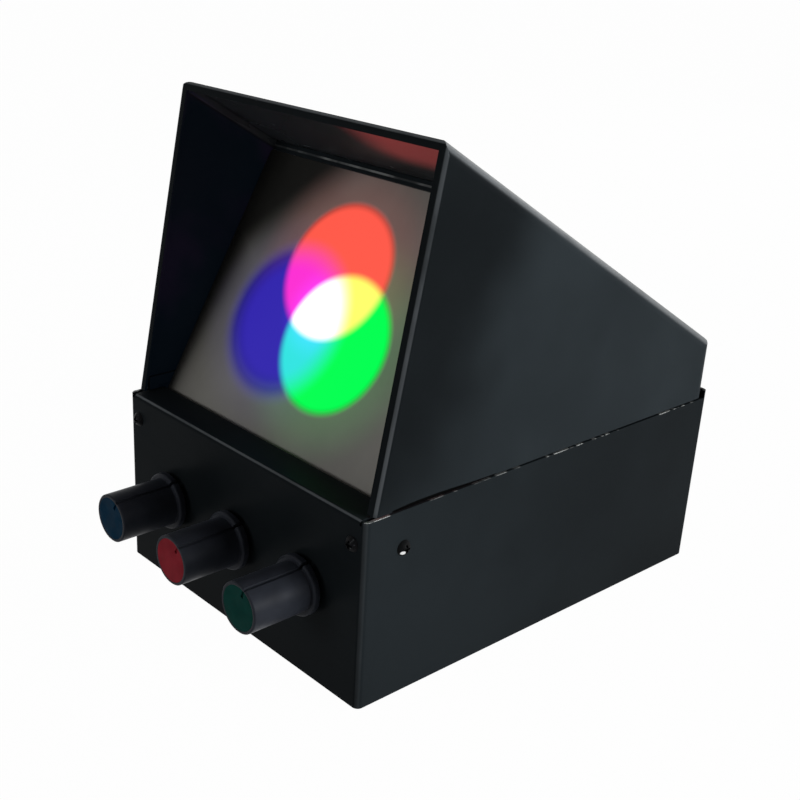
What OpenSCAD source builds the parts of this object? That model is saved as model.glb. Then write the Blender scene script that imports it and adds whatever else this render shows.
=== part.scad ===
// Colour mixing apparatus: a sheet metal base with three lamp controls, a hood that shades a
// slanted screen, and three lamps behind it that throw overlapping discs of coloured light.
// The origin is at the centre of the bounding box, on the surface that the feet rest on.
// +X is to the right as seen from the front, +Y to the rear, +Z up.

/* [Base] */
// Width of the base
base_w = 120; // [112:1:150]
// Depth of the base, front to rear
base_d = 159; // [156:1:200]
// Height of the base's walls
base_h = 61.5; // [60:0.5:80]
// Thickness of the folded sheet metal
sheet_t = 1.0; // [0.8:0.1:1.2]
// Outside radius of the base's upright bends
base_bend_r = 2.0; // [1.6:0.1:4]
// Outside radius of the sill's bend
sill_bend_r = 1.5; // [1.3:0.1:2]
// Depth of the sill, the front panel's top edge bent inwards
sill_d = 12; // [8:0.5:12.5]
// How far the rear wall rises above the side walls
rear_rise = 2.6; // [1:0.1:4]
// Width of the flanges bent inwards along the bottom of the side walls
floor_flange_w = 15; // [13:0.5:20]
// Diameter of a rubber foot
foot_dia = 10; // [8:0.5:12]
// Height of a rubber foot
foot_h = 2.0; // [1.9:0.1:6]
// Distance of a foot's centre from the base's front or rear face
foot_inset = 12; // [9:0.5:20]

/* [Hood] */
// Distance of the hood's sides in from the base's, and of its strips in from the base's walls
hood_inset = 0.3; // [0.2:0.05:0.8]
// Gap between the hood's rear tongue and the base's rear wall
hood_rear_gap = 0.3; // [0.2:0.1:1]
// Gap between the hood's lower edges and the base's top edges
hood_seam = 0.4; // [0.2:0.1:1]
// How far the hood's strips and tongue reach down into the base
hood_sink = 17; // [15:0.5:19]
// Distance of the hood's front edge behind the front panel, at the base's top
hood_setback = 3.4; // [2.2:0.1:5]
// Height of the hood above the base
hood_rise = 102.3; // [96:0.5:120]
// How far the opening leans back over its height
hood_lean = 19.2; // [14:0.2:21]
// Height of the hood's rear wall above the base
hood_tail_rise = 20.9; // [16:0.5:24]
// Outside radius of the hood's bends
hood_bend_r = 4.5; // [3:0.1:6]
// Outside radius of the bend between the hood and its lip
lip_bend_r = 1.5; // [1.3:0.1:2]
// Width of the lip bent inwards round the opening
lip_w = 3.3; // [2.5:0.1:4]

/* [Screen] */
// Thickness of the screen
screen_t = 2.0; // [1.5:0.1:3]
// Lean of the screen from upright, in degrees
screen_lean = 29.6; // [28:0.1:31]
// Distance of the screen's lower visible edge behind the front panel
screen_setback = 12.24; // [12:0.1:14]
// Depth of the screen's lower visible edge below the base's top
screen_drop = 3.2; // [3:0.1:4]
// Height of the top rail's flanges
rail_flange_h = 3.1; // [2.5:0.1:4]

/* [Lamps] */
// Space between the upper heat sink and the hood's rear wall
sink_room = 8.7; // [7:0.1:12]
// Spacing of the three lamps
lamp_spacing = 24.2; // [23:0.1:26]
// Sideways place of the lamps' common centre
lamp_x = -3.9; // [-8:0.1:8]
// Height of the lamps' common centre up the screen
lamp_rise = 46.1; // [42:0.1:48]
// Turn of the lamps about their common centre, in degrees
lamp_turn = -2; // [-5:0.5:5]
// Outside diameter of a lamp tube
tube_dia = 21; // [18:0.5:22]
// Length of a lamp tube
tube_len = 34; // [30:1:36]
// Wall of a lamp tube
tube_wall = 1.0; // [0.8:0.1:1.5]
// Thickness of the lamp bracket
bracket_t = 1.5; // [1.2:0.1:2]

/* [Controls] */
// Distance of the outer knobs' axes from the base's sides
knob_inset = 25.65; // [22:0.05:32]
// Height of the knobs above the base's underside
knob_z = 31.3; // [28:0.5:34]
// Diameter of a knob's body
knob_dia = 16.1; // [15:0.1:18]
// Reach of a knob in front of the panel
knob_reach = 24.45; // [22:0.1:30]
// Diameter of a knob's skirt
skirt_dia = 19.2; // [18:0.1:22]
// Height of a knob's skirt
skirt_h = 2.5; // [2:0.1:4]
// Gap between a knob and the front panel
knob_gap = 1.5; // [1:0.1:2.2]
// Diameter of a knob's coloured cap
cap_dia = 14.1; // [12:0.1:14.4]
// Diameter of a control's shaft
shaft_dia = 6.0; // [5:0.1:6.4]
// Turn of the blue, red and green knobs' pointers from upright, in degrees
pointer_turns = [28, 35, 22]; // [-60:1:60]

/* [Rear fittings] */
// Sideways distance of the switch and the inlet from the middle
fitting_x = 36; // [32:0.5:42]
// Height of the switch and the inlet above the base's underside
fitting_z = 30; // [20:0.5:31]
// Tilt of the rocker to either side, in degrees
rocker_tilt = 12; // [8:0.5:14]

/* [Fasteners] */
// Nominal diameter of the screws
screw_dia = 2.5; // [2:0.1:3]
// Diameter of a screw's head
screw_head_dia = 5.0; // [4.4:0.1:5.6]
// Height of a screw's head
screw_head_h = 1.7; // [1.4:0.1:1.8]
// Length of the screws through the walls
wall_screw_len = 5; // [4.5:0.5:6]
// Length of the screws through the floor
floor_screw_len = 4; // [3.5:0.5:5]

/* [Hidden] */
$fn = 48;

// Colours
metal_black = [0.06, 0.07, 0.08];
plastic_black = [0.05, 0.06, 0.07];
bare_steel = [0.70, 0.70, 0.72];
lamp_colours = [[0.95, 0.25, 0.20], [0.10, 0.80, 0.25], [0.15, 0.20, 0.85]];
cap_colours = [[0.03, 0.12, 0.20], [0.45, 0.15, 0.17], [0.06, 0.16, 0.15]];

// Clearances
fit_gap = 0.05;
part_gap = 0.3;
reach = 400;

// The origin's place in the base's own frame, whose front face is at y = 0 and underside at z = 0
rocker_radius = 8.6;
rocker_half = 9;
rocker_dip = 2.0;
rocker_crest = 4.6;
rocker_depth = 4;
rocker_rake = atan((rocker_crest - rocker_dip) / rocker_half);
rocker_rear = rocker_end(rocker_tilt);
origin_y = (base_d + rocker_rear - knob_reach) / 2;

// Base
base_half = base_w / 2;
hood_half = base_half - hood_inset;
strip_outer = hood_half - sheet_t;
strip_inner = strip_outer - sheet_t;
floor_z = 2 * sheet_t;
sill_half = strip_inner - part_gap;
relief_w = 0.8;
foot_x = base_half - sheet_t - floor_flange_w / 2;

// Hood, as points of its side view
hood_bottom = base_h - hood_sink;
hood_foot = [hood_setback, base_h];
hood_peak = hood_foot + [hood_lean, hood_rise];
hood_tail = [base_d - sheet_t - hood_rear_gap, base_h + hood_tail_rise];
hood_slope = atan((hood_peak.y - hood_tail.y) / (hood_tail.x - hood_peak.x));
opening_lean = atan(hood_lean / hood_rise);
opening_len = norm(hood_peak - hood_foot);
tongue_half = hood_half - hood_bend_r;
strip_lap = 4;
corner_relief_r = 1.3;

// Screen, whose frame starts at its lower visible edge
screen_foot = [screen_setback, base_h - screen_drop];
screen_half = strip_inner - part_gap;
screen_corner_r = hood_bend_r - sheet_t;
rail_drop = 13;
rail_bottom_z = base_h - rail_drop;
rail_web_z = rail_bottom_z + sheet_t;
rail_front_h = 4;
rail_back_rise = 3;
rail_grip = 2;
rail_gap = 0.15;
screen_below = (screen_foot.y - rail_web_z - screen_t * sin(screen_lean) - rail_gap) / cos(screen_lean);
screen_top = roof_s(0) - sheet_t - part_gap;

// Lamps, whose frames start at the lens end of the tube and point to the screen
lamp_ring_r = lamp_spacing / sqrt(3);
lamp_angles = [90 + lamp_turn, 330 + lamp_turn, 210 + lamp_turn];
tube_r = tube_dia / 2;
bore_r = tube_r - tube_wall;
lens_r = bore_r - fit_gap * 2;
lens_seat = 7;
lens_edge = 2;
lens_sphere_r = 20;
lens_cap = lens_sphere_r - sqrt(pow(lens_sphere_r, 2) - pow(lens_r, 2));
ring_bore_r = lens_r - 1.2;
ring_rise = sqrt(pow(lens_sphere_r, 2) - pow(ring_bore_r, 2)) - sqrt(pow(lens_sphere_r, 2) - pow(lens_r, 2));
sink_spigot = 2;
board_t = 1.6;
sink_base = 3;
fin_h = 9;
fin_t = 1;
fin_pitch = 2.75;
sink_y = hood_tail.x - sheet_t - sink_room;
sink_s = lamp_rise + lamp_ring_r + tube_r;
sink_depth = (sink_y - screen_foot.x - sink_s * sin(screen_lean)) / cos(screen_lean);
lamp_distance = sink_depth - fin_h - sink_base - tube_len;
bracket_back = 14;
bracket_half = lamp_ring_r * cos(30) + tube_r + 3.5;
bracket_margin = 3;
bracket_foot_w = 10;
cheek_len = 40;
cheek_h = 10;
bracket_foot_set = 4;
bracket_screw_set = 6;
bracket_y = side_y(lamp_distance + bracket_back, floor_s(lamp_distance + bracket_back));
bracket_screw_ys = [
    bracket_y + bracket_foot_set + bracket_screw_set,
    bracket_y + cheek_len - bracket_screw_set
];

// Driver board, midway between the controls and the lamp bracket
case_len = 8;
board_w = 74;
board_d = 38;
board_y = (sheet_t + case_len + bracket_y - board_d) / 2;
spacer_h = 5;
spacer_r = 2.6;
board_z = floor_z + spacer_h;
board_top = board_z + board_t;
board_hole_inset = 4;
board_screw_grip = 3;
part_pitch = 20;
part_row_y = board_y + board_d / 2;
lead_pitch = 2.54;
terminal_pitch = 5;
terminal_h = 9.5;
terminal_d = 8;
capacitor_r = 4;
capacitor_h = 12;

// Controls, whose frames start at the panel's outer face and point outwards
knob_pitch = base_half - knob_inset;
control_xs = [-knob_pitch, 0, knob_pitch];
shaft_r = shaft_dia / 2;
bush_r = shaft_r + 0.6;
bush_out = 3.4;
case_r = 8.25;
tag_reach = 6;
tag_pitch = 5;
nut_flats = 10;
nut_t = 2;
washer_t = 0.5;
cap_t = 1.5;
knob_bore_end = knob_reach - cap_t - 5;
pointer_w = 1.0;
pointer_depth = 0.5;

// Rear fittings, whose frames start at the rear wall's outer face and point outwards
bezel = [15, 21, 1.8];
switch_hole = [13.2, 19.2];
switch_case = [13.0, 19.0, 15];
switch_wall = 0.8;
rocker_w = switch_case.x - 2 * switch_wall - 0.6;
rocker_pin_r = 1.0;
inlet_thread_r = 4.0;
inlet_flange_r = 5.5;
inlet_bore_r = 2.8;
inlet_pin_r = 1.05;
inlet_len = 12;
tab_len = 7;

// Screws
screw_r = screw_dia / 2;
screw_hole_r = screw_r + 0.1;
tap_hole_r = screw_r + fit_gap;
front_screw_x = base_half - 5.3;
front_screw_z = base_h - 8.3;
side_screw_y = 15;
side_screw_z = base_h - 12.1;
rear_screw_x = base_half - 10;
rear_screw_z = base_h - 9.5;
bottom_screw_ys = [foot_inset + 16, base_d - foot_inset - 16];

// Points and frames

function unit(v) = v / norm(v);

// For the corner b between a and c, the two points where an arc of radius r starts and ends, and its centre
function corner_arc(a, b, c, r) =
    let (
        u = unit(a - b),
        v = unit(c - b),
        half = acos(u * v) / 2
    )
    [b + u * r / tan(half), b + v * r / tan(half), b + unit(u + v) * r / sin(half)];

function corner_arcs(points, radii) =
    let (n = len(points))
    [for (i = [0:n - 1]) corner_arc(points[(i + n - 1) % n], points[i], points[(i + 1) % n], radii[i])];

// The same outline drawn in by d
function inset_points(points, d) = [for (arc = corner_arcs(points, [for (p = points) d])) arc[2]];

// Side view place of a point at a depth behind the screen's face and a distance s up the screen
function side_y(depth, s) = screen_foot.x + depth * cos(screen_lean) + s * sin(screen_lean);
function side_z(depth, s) = screen_foot.y - depth * sin(screen_lean) + s * cos(screen_lean);

// Distance up the screen at which a line at this depth meets the floor, or the underside of the hood's top
function floor_s(depth) = (floor_z - screen_foot.y + depth * sin(screen_lean)) / cos(screen_lean);
function roof_s(depth) =
    let (
        up = [sin(hood_slope), cos(hood_slope)],
        start = [side_y(depth, 0), side_z(depth, 0)]
    )
    ((hood_peak - start) * up - sheet_t) / cos(hood_slope - screen_lean);

// Outermost reach of the rocker's raised end at a tilt
function rocker_end(tilt) =
    let (
        dip = rocker_dip * cos(rocker_rake),
        corner_angle = asin(dip / rocker_radius) + rocker_rake
    )
    rocker_radius * sin(corner_angle + tilt);

// A convex outline whose corners are arcs of the given radii, or square where the radius is 0
module rounded_outline(points, radii) {
    arcs = corner_arcs(points, radii);
    difference() {
        polygon(points);
        for (i = [0:len(points) - 1]) {
            if (radii[i] > 0) difference() {
                polygon([arcs[i][0], 2 * points[i] - arcs[i][2], arcs[i][1], arcs[i][2]]);
                translate(arcs[i][2]) circle(radii[i]);
            }
        }
    }
}

// Puts the base's own frame in its place over the origin
module in_base() {
    translate([0, -origin_y, foot_h]) children();
}

// A side view outline, given as y and z, made w wide
module across(w) {
    rotate([90, 0, 90]) linear_extrude(height = w, center = true) children();
}

// Side view frame of the screen: x is the depth behind its face, y the distance up it
module screen_view() {
    translate(screen_foot) rotate(-screen_lean) children();
}

// The same frame in space: y is the distance up the screen, z points out of its face
module screen_frame() {
    translate([0, screen_foot.x, screen_foot.y]) rotate([90 - screen_lean, 0, 0]) children();
}

module lamp_frame(i) {
    screen_frame()
        translate([
            lamp_x + lamp_ring_r * cos(lamp_angles[i]),
            lamp_rise + lamp_ring_r * sin(lamp_angles[i]),
            -lamp_distance
        ])
            children();
}

module control_frame(i) {
    translate([control_xs[i], 0, knob_z]) rotate([90, 0, 0]) children();
}

// Frames on the rear wall and at screws: z points the way the fitting faces
module rear_frame(x, z) {
    translate([x, base_d, z]) rotate([-90, 0, 0]) children();
}

module at_front_screws() {
    for (x = [-front_screw_x, front_screw_x]) translate([x, 0, front_screw_z]) rotate([90, 0, 0]) children();
}

module at_side_screws() {
    for (side = [-1, 1]) {
        translate([side * base_half, side_screw_y, side_screw_z]) rotate([0, side * 90, 0]) children();
    }
}

module at_rear_screws() {
    for (x = [-rear_screw_x, rear_screw_x]) rear_frame(x, rear_screw_z) children();
}

module at_bottom_screws() {
    for (x = [-foot_x, foot_x], y = bottom_screw_ys) translate([x, y, 0]) rotate([180, 0, 0]) children();
}

module at_bracket_screws() {
    for (side = [-1, 1], y = bracket_screw_ys) {
        translate([lamp_x + side * (bracket_half + bracket_foot_w / 2), y, sheet_t])
            rotate([180, 0, 0])
                children();
    }
}

module at_board_corners() {
    for (x = [-1, 1], y = [board_hole_inset, board_d - board_hole_inset]) {
        translate([x * (board_w / 2 - board_hole_inset), board_y + y, floor_z]) children();
    }
}

module hole(r, depth) {
    translate([0, 0, -depth]) cylinder(r = r, h = depth + 2);
}

// A pan head screw that points down from z = 0, with a cross recess in its domed head
module pan_screw(length) {
    head_r = screw_head_dia / 2;
    dome_r = (pow(head_r, 2) + pow(screw_head_h, 2)) / (2 * screw_head_h);
    recess_w = 0.7;
    translate([0, 0, -length]) cylinder(r = screw_r, h = length + 0.01);
    difference() {
        intersection() {
            cylinder(r = head_r - 0.02, h = screw_head_h);
            translate([0, 0, screw_head_h - dome_r]) sphere(r = dome_r);
        }
        for (turn = [0, 90]) {
            rotate(turn) translate([-1.3, -recess_w / 2, screw_head_h - 0.9]) cube([2.6, recess_w, 2]);
        }
    }
}

// A box with round upright edges, standing on z = 0 and centred on x and y
module block(size, r) {
    linear_extrude(size.z) {
        rounded_outline(
            [
                [-size.x / 2, -size.y / 2],
                [size.x / 2, -size.y / 2],
                [size.x / 2, size.y / 2],
                [-size.x / 2, size.y / 2]
            ],
            [r, r, r, r]
        );
    }
}

// Base

module wall_plan(inset) {
    half = base_half - inset;
    r = base_bend_r - inset;
    back = base_d - inset;
    rounded_outline([[-half, inset], [half, inset], [half, back], [-half, back]], [r, r, r, r]);
}

module base_shell() {
    color(metal_black) in_base() difference() {
        union() {
            difference() {
                linear_extrude(base_h + rear_rise) difference() {
                    wall_plan(0);
                    wall_plan(sheet_t);
                }
                translate([-base_w, -base_d, base_h])
                    cube([2 * base_w, 2 * base_d - base_bend_r, 2 * rear_rise]);
            }
            translate([-sill_half, 0, base_h - sheet_t]) cube([2 * sill_half, sill_d, sheet_t]);
            for (side = [0, 1]) mirror([side, 0, 0]) {
                translate([base_half - floor_flange_w, base_bend_r + part_gap, 0])
                    cube([floor_flange_w - sheet_t / 2, base_d - 2 * base_bend_r - 2 * part_gap, sheet_t]);
            }
        }
        sill_bend();
        for (side = [0, 1]) mirror([side, 0, 0]) {
            translate([sill_half, -1, base_h - sill_bend_r]) cube([relief_w, sheet_t + 2, 2 * sill_bend_r]);
        }
        for (i = [0:2]) control_frame(i) hole(bush_r + 0.1, sheet_t + 1);
        at_front_screws() hole(screw_hole_r, sheet_t + 1);
        at_side_screws() hole(screw_hole_r, sheet_t + 1);
        at_rear_screws() hole(screw_hole_r, sheet_t + 1);
        at_bottom_screws() hole(screw_hole_r, sheet_t + 1);
        rear_frame(fitting_x, fitting_z) translate([0, 0, -sheet_t - 1])
            block([switch_hole.x, switch_hole.y, sheet_t + 2], 0);
        rear_frame(-fitting_x, fitting_z) hole(inlet_thread_r + 0.1, sheet_t + 1);
    }
}

// What the sill's bend takes off the front panel's square top edge
module sill_bend() {
    across(2 * sill_half) {
        translate([0, base_h - sill_bend_r]) difference() {
            translate([-1, 0]) square([1 + sill_bend_r, 1 + sill_bend_r]);
            translate([sill_bend_r, 0]) circle(sill_bend_r);
        }
    }
}

module bottom_plate() {
    edge = sheet_t + part_gap;
    color(metal_black) in_base() difference() {
        translate([0, base_d / 2, sheet_t])
            block([base_w - 2 * edge, base_d - 2 * edge, sheet_t], base_bend_r);
        translate([0, 0, sheet_t]) at_bottom_screws() hole(tap_hole_r, sheet_t + 1);
        at_bracket_screws() hole(screw_hole_r, sheet_t + 1);
    }
}

module rubber_feet() {
    edge = 0.5;
    color([0.08, 0.08, 0.08]) in_base() {
        for (x = [-foot_x, foot_x], y = [foot_inset, base_d - foot_inset]) {
            translate([x, y, -foot_h]) rotate_extrude() polygon([
                [0, 0],
                [foot_dia / 2 - edge, 0],
                [foot_dia / 2, edge],
                [foot_dia / 2, foot_h],
                [0, foot_h]
            ]);
        }
    }
}

// Hood

function hood_outline() = [
    [hood_foot.x, hood_bottom],
    hood_foot,
    hood_peak,
    hood_tail,
    [hood_tail.x, hood_bottom]
];

// The hood's outer shape, or its hollow when drawn in by the sheet's thickness
module hood_form(inset) {
    half = hood_half - inset;
    bend = hood_bend_r - inset;
    lip_bend = lip_bend_r - inset;
    below = [0, 3 * inset];
    outline = inset > 0 ? inset_points(hood_outline(), inset) : hood_outline();
    intersection() {
        across(4 * base_w) rounded_outline(
            [outline[0] - below, outline[1], outline[2], outline[3], outline[4] - below],
            [0, 0, lip_bend, bend, 0]
        );
        translate([0, hood_peak.x, hood_peak.y]) rotate([90 - hood_slope, 0, 0])
            translate([0, -inset, -reach / 2]) linear_extrude(reach) rounded_outline(
                [[-half, -reach], [half, -reach], [half, 0], [-half, 0]],
                [0, 0, bend, bend]
            );
        translate([0, 0, -1]) linear_extrude(reach) rounded_outline(
            [[-half, -reach], [half, -reach], [half, hood_tail.x - inset], [-half, hood_tail.x - inset]],
            [0, 0, bend, bend]
        );
        opening_frame() translate([0, 0, -reach / 4]) linear_extrude(reach) rounded_outline(
            [[-half, inset], [half, inset], [half, reach], [-half, reach]],
            [lip_bend, lip_bend, 0, 0]
        );
    }
}

// The frame of the opening, from its foot: z points up its plane and y into the hood
module opening_frame() {
    translate([0, hood_foot.x, hood_foot.y]) rotate([-opening_lean, 0, 0]) children();
}

// What is cut off the hood below its seam with the base, all but the rear wall's tongue
module hood_trim() {
    seam_z = base_h + hood_seam;
    difference() {
        translate([-base_w, -base_d, 0]) cube([2 * base_w, 3 * base_d, seam_z]);
        translate([-tongue_half, hood_tail.x - hood_bend_r, -1]) cube([2 * tongue_half, base_d, seam_z + 2]);
    }
}

// Relief holes where the tongue's edges end the hood's rear bends
module corner_reliefs() {
    for (side = [0, 1]) mirror([side, 0, 0]) {
        translate([tongue_half, hood_tail.x - hood_bend_r, base_h + hood_seam + corner_relief_r * 0.7])
            rotate([0, 90, 45])
                cylinder(r = corner_relief_r, h = 2 * hood_bend_r);
    }
}

// Strips welded inside the hood's sides, which reach down into the base and take the side screws
module hood_strips() {
    front = hood_setback + 2 * lip_bend_r;
    back = hood_tail.x - hood_bend_r;
    for (side = [0, 1]) mirror([side, 0, 0]) {
        translate([strip_inner, front, hood_bottom])
            cube([sheet_t, back - front, hood_sink + hood_seam + strip_lap]);
    }
}

module hood_shell() {
    window_half = hood_half - lip_w;
    color(metal_black) in_base() difference() {
        union() {
            difference() {
                hood_form(0);
                hood_form(sheet_t);
                opening_frame() translate([-window_half, -sheet_t, -reach / 4]) cube([
                    2 * window_half,
                    3 * sheet_t,
                    reach / 4 + opening_len - lip_w
                ]);
                hood_trim();
                corner_reliefs();
            }
            hood_strips();
        }
        at_side_screws() hole(tap_hole_r, 2 * sheet_t + hood_inset + 1);
        at_rear_screws() hole(tap_hole_r, 2 * sheet_t + hood_rear_gap + 1);
    }
}

// Screen and its rails

module screen() {
    color([0.80, 0.80, 0.76]) in_base() screen_frame() translate([0, 0, -screen_t]) {
        linear_extrude(screen_t) rounded_outline(
            [
                [-screen_half, -screen_below],
                [screen_half, -screen_below],
                [screen_half, screen_top],
                [-screen_half, screen_top]
            ],
            [0, 0, screen_corner_r, screen_corner_r]
        );
    }
}

module screen_top_rail() {
    depth = screen_t + 2 * rail_gap + 2 * sheet_t;
    front = -rail_gap - sheet_t;
    top = min(roof_s(front), roof_s(front + depth)) - 0.02;
    back_h = rail_flange_h + rail_grip;
    color(metal_black) in_base() across(2 * tongue_half) screen_view() {
        translate([front, top - sheet_t]) square([depth, sheet_t]);
        translate([front, top - rail_flange_h]) square([sheet_t, rail_flange_h]);
        translate([front + depth - sheet_t, top - back_h]) square([sheet_t, back_h]);
    }
}

module screen_bottom_rail() {
    back = screen_t + rail_gap;
    low = -screen_below - sheet_t;
    color(metal_black) in_base() difference() {
        across(2 * (sill_half - part_gap)) {
            translate([sheet_t, rail_bottom_z]) square([sheet_t, base_h - 3 * sheet_t - rail_bottom_z]);
            translate([sheet_t, rail_bottom_z]) square([side_y(screen_t, low) - sheet_t, sheet_t]);
            screen_view() {
                translate([-rail_gap - sheet_t, low]) square([sheet_t, rail_front_h]);
                translate([-rail_gap - sheet_t, low]) square([back + rail_gap + 2 * sheet_t, sheet_t]);
                translate([back, low]) square([sheet_t, screen_below + rail_back_rise]);
            }
        }
        at_front_screws() hole(tap_hole_r, 2 * sheet_t + 1);
    }
}

// Lamps

module lamp_bracket() {
    front = lamp_distance + bracket_back;
    plate_top = lamp_rise + lamp_ring_r + tube_r + bracket_margin;
    plate_low = floor_s(front) - bracket_t;
    cheek_top = lamp_rise - lamp_ring_r / 2;
    cheek_back = bracket_y + cheek_len;
    color([0.55, 0.56, 0.58]) in_base() difference() {
        union() {
            intersection() {
                translate([lamp_x, 0, 0]) across(2 * bracket_half) {
                    screen_view() translate([front, plate_low]) square([bracket_t, plate_top - plate_low]);
                }
                translate([-base_half, 0, floor_z]) cube([base_w, base_d, reach]);
            }
            for (side = [-1, 1]) translate([lamp_x + side * (bracket_half - bracket_t / 2), 0, 0]) {
                across(bracket_t) polygon([
                    [bracket_y, floor_z],
                    [cheek_back, floor_z],
                    [cheek_back, floor_z + cheek_h],
                    [side_y(front + bracket_t, cheek_top), side_z(front + bracket_t, cheek_top)],
                    [side_y(front, cheek_top), side_z(front, cheek_top)]
                ]);
                translate([side > 0 ? 0 : -bracket_foot_w, bracket_y + bracket_foot_set, floor_z])
                    cube([bracket_foot_w, cheek_len - bracket_foot_set, bracket_t]);
            }
        }
        for (i = [0:2]) lamp_frame(i) translate([0, 0, -tube_len]) {
            cylinder(r = tube_r + fit_gap, h = tube_len);
        }
        at_bracket_screws() hole(tap_hole_r, 3 * sheet_t + bracket_t);
    }
}

module lamp_tube(i) {
    color([0.12, 0.12, 0.13]) in_base() lamp_frame(i) difference() {
        translate([0, 0, -tube_len]) cylinder(r = tube_r, h = tube_len);
        translate([0, 0, -lens_seat]) cylinder(r = bore_r, h = lens_seat + 1);
        translate([0, 0, -lens_seat - 2]) cylinder(r = bore_r - 1, h = 3);
        translate([0, 0, -tube_len - 1]) cylinder(r = bore_r, h = tube_len - lens_seat - 0.2);
    }
}

module lens(i) {
    color([0.85, 0.90, 0.95, 0.5]) in_base() lamp_frame(i) translate([0, 0, -lens_seat]) intersection() {
        cylinder(r = lens_r, h = lens_edge + lens_cap);
        translate([0, 0, lens_edge + lens_cap - lens_sphere_r]) sphere(r = lens_sphere_r, $fn = 96);
    }
}

module lens_ring(i) {
    color([0.12, 0.12, 0.13]) in_base() lamp_frame(i) {
        translate([0, 0, -lens_seat + lens_edge + ring_rise + fit_gap]) difference() {
            cylinder(r = bore_r - fit_gap, h = 2);
            translate([0, 0, -1]) cylinder(r = ring_bore_r, h = 4);
        }
    }
}

module lamp_board(i) {
    color([0.85, 0.85, 0.83]) in_base() lamp_frame(i) {
        translate([0, 0, -tube_len + sink_spigot]) cylinder(r = bore_r - part_gap, h = board_t);
    }
}

module emitter(i) {
    color(lamp_colours[i]) in_base() lamp_frame(i) translate([0, 0, -tube_len + sink_spigot + board_t]) {
        cylinder(r = 3.2, h = 1);
        translate([0, 0, 1]) intersection() {
            sphere(r = 2.6);
            translate([-3, -3, -0.5]) cube([6, 6, 4]);
        }
    }
}

module heat_sink(i) {
    fins = floor(tube_r / fin_pitch);
    color([0.20, 0.20, 0.21]) in_base() lamp_frame(i) translate([0, 0, -tube_len]) {
        cylinder(r = bore_r - fit_gap, h = sink_spigot);
        translate([0, 0, -sink_base]) cylinder(r = tube_r, h = sink_base);
        intersection() {
            translate([0, 0, -sink_base - fin_h]) cylinder(r = tube_r, h = fin_h + 1);
            for (k = [-fins:fins]) {
                translate([k * fin_pitch - fin_t / 2, -tube_r, -sink_base - fin_h])
                    cube([fin_t, 2 * tube_r, fin_h + 0.5]);
            }
        }
    }
}

// Driver board

module driver_board() {
    color([0.05, 0.30, 0.15]) in_base() difference() {
        translate([0, board_y + board_d / 2, board_z]) block([board_w, board_d, board_t], 1);
        at_board_corners() cylinder(r = screw_hole_r, h = 20);
    }
}

module board_spacers() {
    color(bare_steel) in_base() at_board_corners() difference() {
        cylinder(r = spacer_r, h = spacer_h);
        translate([0, 0, 1]) cylinder(r = tap_hole_r, h = spacer_h);
    }
}

// Three power transistors on their legs along the board's rear edge
module driver_transistors() {
    leg = [0.8, 0.6, 3.5];
    case = [10, 4.5, 9];
    tab = [10, 1.2, 15.5];
    case_z = leg.z - 0.5;
    color(plastic_black) in_base() for (k = [-1, 0, 1]) {
        translate([k * part_pitch, board_y + board_d - 2 * board_hole_inset, board_top]) {
            for (side = [-1, 0, 1]) translate([side * lead_pitch - leg.x / 2, -leg.y / 2, 0]) cube(leg);
            translate([-case.x / 2, -case.y / 2, case_z]) cube(case);
            difference() {
                translate([-tab.x / 2, case.y / 2 - tab.y, case_z]) cube(tab);
                translate([0, case.y, case_z + tab.z - 3]) rotate([90, 0, 0])
                    cylinder(r = 1.8, h = 2 * case.y);
            }
        }
    }
}

module driver_capacitors() {
    groove = 0.3;
    groove_z = 1.8;
    color([0.10, 0.12, 0.30]) in_base() for (x = [-part_pitch, part_pitch]) {
        translate([x, part_row_y, board_top]) rotate_extrude() polygon([
            [0, 0],
            [capacitor_r, 0],
            [capacitor_r, groove_z - groove],
            [capacitor_r - groove, groove_z],
            [capacitor_r, groove_z + groove],
            [capacitor_r, capacitor_h - groove],
            [capacitor_r - groove, capacitor_h],
            [0, capacitor_h]
        ]);
    }
}

module driver_chip() {
    case = [9.8, 6.4, 3.3];
    pin = [0.5, 0.9, 2.4];
    case_z = 0.6;
    color(plastic_black) in_base() translate([0, part_row_y, board_top]) difference() {
        union() {
            translate([-case.x / 2, -case.y / 2, case_z]) cube(case);
            for (k = [-1.5:1.5], side = [0, 1]) mirror([0, side, 0]) {
                translate([k * lead_pitch - pin.x / 2, case.y / 2 - 0.2, 0]) cube(pin);
            }
        }
        translate([-case.x / 2, 0, case_z + case.z - 0.9]) cylinder(r = 0.9, h = 2);
    }
}

// A row of screw terminals along the board's front edge, one for each control
module terminal_blocks() {
    row_w = 3 * terminal_pitch;
    color([0.10, 0.45, 0.30]) in_base() for (k = [-1, 0, 1]) {
        translate([k * part_pitch, board_y + terminal_d / 2 + 2, board_top]) difference() {
            translate([-row_w / 2, -terminal_d / 2, 0]) cube([row_w, terminal_d, terminal_h]);
            for (hole_k = [-1, 0, 1]) translate([hole_k * terminal_pitch, 0, 0]) {
                translate([0, 0, terminal_h / 2]) cylinder(r = 1.8, h = terminal_h);
                translate([-1.5, -terminal_d / 2 - 1, 1]) cube([3, 4, 3]);
            }
        }
    }
}

// Controls

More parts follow.
